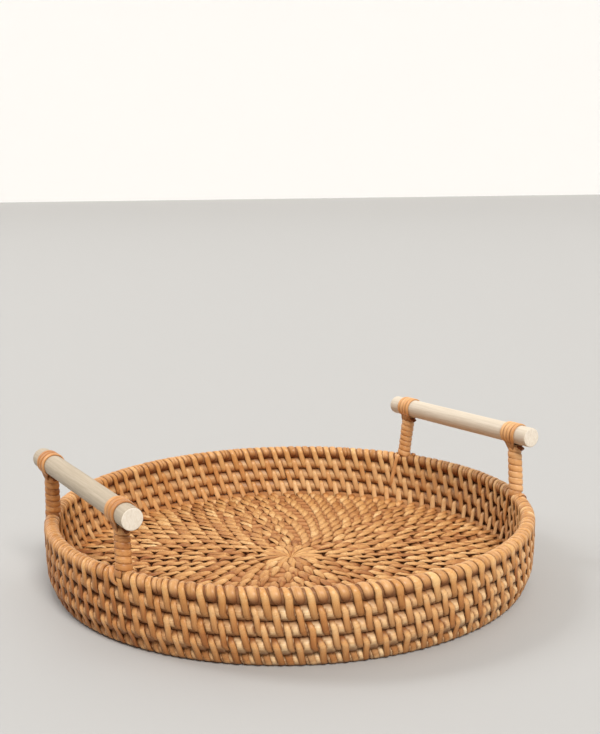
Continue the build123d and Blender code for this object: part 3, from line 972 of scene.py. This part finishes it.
def turned_dowel(name, place, tone, nodes):
    """A dowel with softened edges, grain along its length and sawn ends."""
    half, edge, around = DOWEL_L / 2, 0.75, 72
    face = [(half, DOWEL_R * share) for share in (0.8, 0.55, 0.3, 0.02)]
    soft = [(half - edge + edge * math.sin(a), DOWEL_R - edge + edge * math.cos(a))
            for a in np.radians((0, 22, 45, 68, 90))]
    body = [(y, DOWEL_R) for y in np.linspace(-half + edge, half - edge, 60)[1:-1]]
    ends = soft + face
    y, r = np.array([(-y, r) for y, r in ends[::-1]] + body + ends).T
    y, r = y[:, None], r[:, None]
    rows, sawn = len(y), len(face) + 2
    a = np.linspace(0, 2 * np.pi, around, endpoint=False)
    r = r * (1 + 0.006 * np.sin(y * 0.09 + 1.0) * np.sin(2 * a + y * 0.02))
    x, z = r * np.cos(a), r * np.sin(a)
    near_post = np.exp(-((np.abs(y) - POST_TOP_Y) / 7.5) ** 4)
    y = y + 0 * a
    local = np.stack([x, y, z], -1).reshape(-1, 3)
    co = local @ np.array(place.to_3x3()).T + np.array(place.translation)
    row = np.arange(rows)[:, None, None]
    flow = np.where((row < sawn) | (row >= rows - sawn), np.stack([x, z, y], -1),
                    np.stack([y, x * 0.9, z * 0.9], -1))
    # painted shade on the dowel's underside and near the posts, where the lashing is
    under = smooth(0.2, 1.0, -np.sin(a))
    shade = np.stack([tone + 0 * r, near_post * (0.35 + 0.65 * under), 0 * r], -1)
    quads = np.concatenate([grid_quads(rows, around, closed=False, flip=True), end_cap(around)[:, ::-1],
                            end_cap(around) + (rows - 1) * around])
    piece = add_piece(name, co, quads, flow, shade, [dowel_mat, dowel_end_mat], "dowel_wood", nodes)
    belt_of = np.repeat(np.arange(rows - 1), around)
    is_end = np.ones(len(quads), np.int32)
    is_end[:len(belt_of)] = (belt_of < sawn) | (belt_of >= rows - 1 - sawn)
    piece.data.polygons.foreach_set("material_index", is_end)


for hand, h in HANDLES.items():
    tilt = math.atan2(h["back_z"] - h["front_z"], DOWEL_L)
    middle = Vector((h["side"] * h["reach"], h["shift"], (h["front_z"] + h["back_z"]) / 2))
    place = Matrix.Translation(middle) @ Matrix.Rotation(tilt, 4, "X")
    turned_dowel(f"{hand}_grip", place, h["dowel_tone_and_light"], [f"{hand}_dowel"])
    along, up = np.array(place.to_3x3().col[1]), np.array(place.to_3x3().col[2])
    out = np.array([float(h["side"]), 0.0, 0.0])
    for end, slot in h["posts"].items():
        toward = -1 if end == "front" else 1
        top = np.array(place @ Vector((0, toward * POST_TOP_Y, 0)))
        angle = 2 * math.pi * slot / RIM_SLOTS
        foot = turned(angle, RIM_R, RIM_Z)
        post = f"{hand}_{end}"
        pieces = (("turns", "post_wrap", post_wrap(foot, top, h["binding_painted_light"])),
                  ("bands", "lashing", lashing(top, along, out, up, foot, h["binding_painted_light"])),
                  ("foot_ties", "tie", foot_ties(angle)))
        for suffix, replaced, arrays in pieces:
            add_piece(f"{post}_{suffix}", *arrays, [binding_mat], "binding_peel", [f"{post}_{replaced}"])

# ---- the CAD nodes that stay ----
for name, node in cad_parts.items():
    if name == "centre_curl" or name.endswith("_post"):
        chosen = hidden_core_mat
    elif name.endswith("_pins"):
        chosen = steel_mat
    else:
        continue
    node.data.materials.clear()
    node.data.materials.append(chosen)

# ---- floor, light and camera ----
def studio(name, size, place, rotation, colour, roughness):
    """A plain square of the studio."""
    bpy.ops.mesh.primitive_plane_add(size=size, location=place, rotation=rotation)
    square = bpy.context.object
    square.name = name
    square.data.materials.append(Nodes(name).surface(Base_Color=colour, Roughness=roughness))


away = Vector((-math.cos(FACING), -math.sin(FACING), 0))
studio("studio_floor", 80, (0, 0, 0), (0, 0, 0), (0.44, 0.436, 0.43, 1), 0.75)
studio("studio_wall", 60, away * 15, away.to_track_quat("Z", "X").to_euler(), (0.9, 0.895, 0.89, 1), 0.9)

world = bpy.data.worlds.new("studio")
bpy.context.scene.world = world
world.use_nodes = True
world.node_tree.nodes["Background"].inputs["Color"].default_value = (1.0, 0.985, 0.96, 1)
world.node_tree.nodes["Background"].inputs["Strength"].default_value = 0.37
bpy.context.scene.view_settings.view_transform = "Standard"


def sky_light(name, azimuth, elevation, spread, strength, colour=(1, 1, 1)):
    """Soft light as wide as spread degrees, alike all over the floor. Its azimuth counts to the
    right from the camera's side of the tray."""
    a, e = FACING + math.radians(azimuth), math.radians(elevation)
    source = Vector((math.cos(e) * math.cos(a), math.cos(e) * math.sin(a), math.sin(e)))
    data = bpy.data.lights.new(name, "SUN")
    data.angle, data.energy, data.color = math.radians(spread), strength, colour
    lamp = bpy.data.objects.new(name, data)
    lamp.location = source
    lamp.rotation_euler = (-source).to_track_quat("-Z", "Y").to_euler()
    bpy.context.scene.collection.objects.link(lamp)


sky_light("key", 19, 47, 24, 2.95, (1.0, 0.97, 0.92))
sky_light("top", 120, 72, 30, 0.35)
sky_light("side", -122, 42, 30, 2.4)

# The camera: its distance is in rim radii, its aim in degrees with the roll in radians, and its
# lens and sensor in millimetres.
AWAY, ELEVATION, YAW, PITCH, ROLL = 4.8085, 20.04, 0.6415, 9.6585, 0.0132
LENS, SENSOR_W = 53.4997, 36.0
e, yaw, pitch = (math.radians(v) for v in (ELEVATION, YAW, PITCH))
forward = Vector((math.sin(yaw) * math.cos(pitch), math.cos(yaw) * math.cos(pitch), -math.sin(pitch)))
right = Vector((math.cos(yaw), -math.sin(yaw), 0))
down = forward.cross(right)
right, down = (math.cos(ROLL) * right + math.sin(ROLL) * down,
               math.cos(ROLL) * down - math.sin(ROLL) * right)
turn = Matrix.Rotation(FACING + math.pi / 2, 4, "Z")
pose = Matrix((right, -down, -forward)).transposed().to_4x4()
pose.translation = Vector((0, -AWAY * math.cos(e), AWAY * math.sin(e))) * RIM_R * MM
camera = bpy.data.objects.new("camera", bpy.data.cameras.new("camera"))
camera.data.sensor_fit = "AUTO"
camera.data.sensor_width = SENSOR_W
camera.data.lens = LENS
camera.matrix_world = turn @ pose
bpy.context.scene.collection.objects.link(camera)
bpy.context.scene.camera = camera
